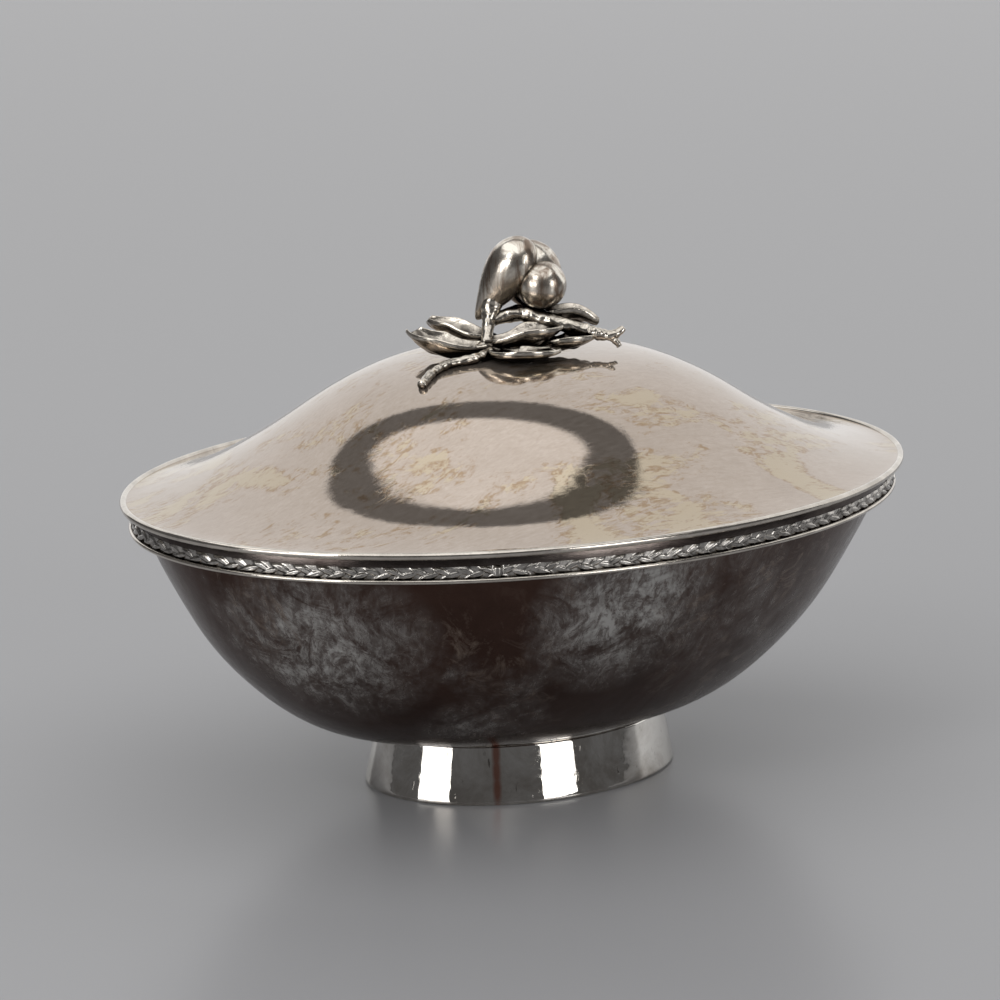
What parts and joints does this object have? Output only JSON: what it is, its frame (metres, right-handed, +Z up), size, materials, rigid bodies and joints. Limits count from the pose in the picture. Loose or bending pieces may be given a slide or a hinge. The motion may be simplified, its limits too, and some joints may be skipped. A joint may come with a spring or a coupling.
{
  "type": "lidded sugar bowl",
  "caption": "Oval footed serving bowl with a laurel-leaf rim border and a domed lift-off lid topped by a cast fruit and leaves.",
  "frame": {"origin": "centre of the foot's bottom edge, on the table", "axes": "+X along the bowl's long axis, +Z up, +Y across; the bowl stands on z = 0"},
  "size_m": [0.161, 0.116, 0.1015],
  "materials": {
    "body_silver": "dark tarnished silver, satin, with blue-grey smudges",
    "lid_silver": "pale tarnished silver, satin, with a matte cloudy film",
    "rim_silver": "polished silver with dark recesses",
    "foot_silver": "polished silver with fine scratches",
    "finial_silver": "cast silver, polished on the high spots and oxidised in the hollows",
    "fixing_silver": "plain machined silver"
  },
  "bodies": {
    "bowl": {"bowl_shell": "body_silver", "mouth_collar": "rim_silver", "leaf_border": "rim_silver", "border_wire": "rim_silver", "foot_band": "foot_silver", "foot_collar": "foot_silver"},
    "lid": {"lid_shell": "lid_silver", "lid_edge_wire": "rim_silver", "lid_bezel": "lid_silver", "finial_boss": "finial_silver", "finial_stud": "fixing_silver", "finial_washer": "fixing_silver", "finial_nut": "fixing_silver", "stem_knot": "finial_silver", "fruit_pod": "finial_silver", "fruit_back_lobe": "finial_silver", "fruit_berry": "finial_silver", "fruit_stalk": "finial_silver", "arched_twig": "finial_silver", "forked_twig": "finial_silver", "fork_prong": "finial_silver", "cut_twig": "finial_silver", "leaf_front": "finial_silver", "leaf_left_front": "finial_silver", "leaf_left_back": "finial_silver", "leaf_right": "finial_silver", "leaf_low_front": "finial_silver", "leaf_low_right": "finial_silver"}
  },
  "joints": [
    {"name": "lid_lift", "type": "slide", "parent": "bowl", "child": "lid", "axis": [0, 0, 1], "range_m": [0, 0.08]}
  ]
}
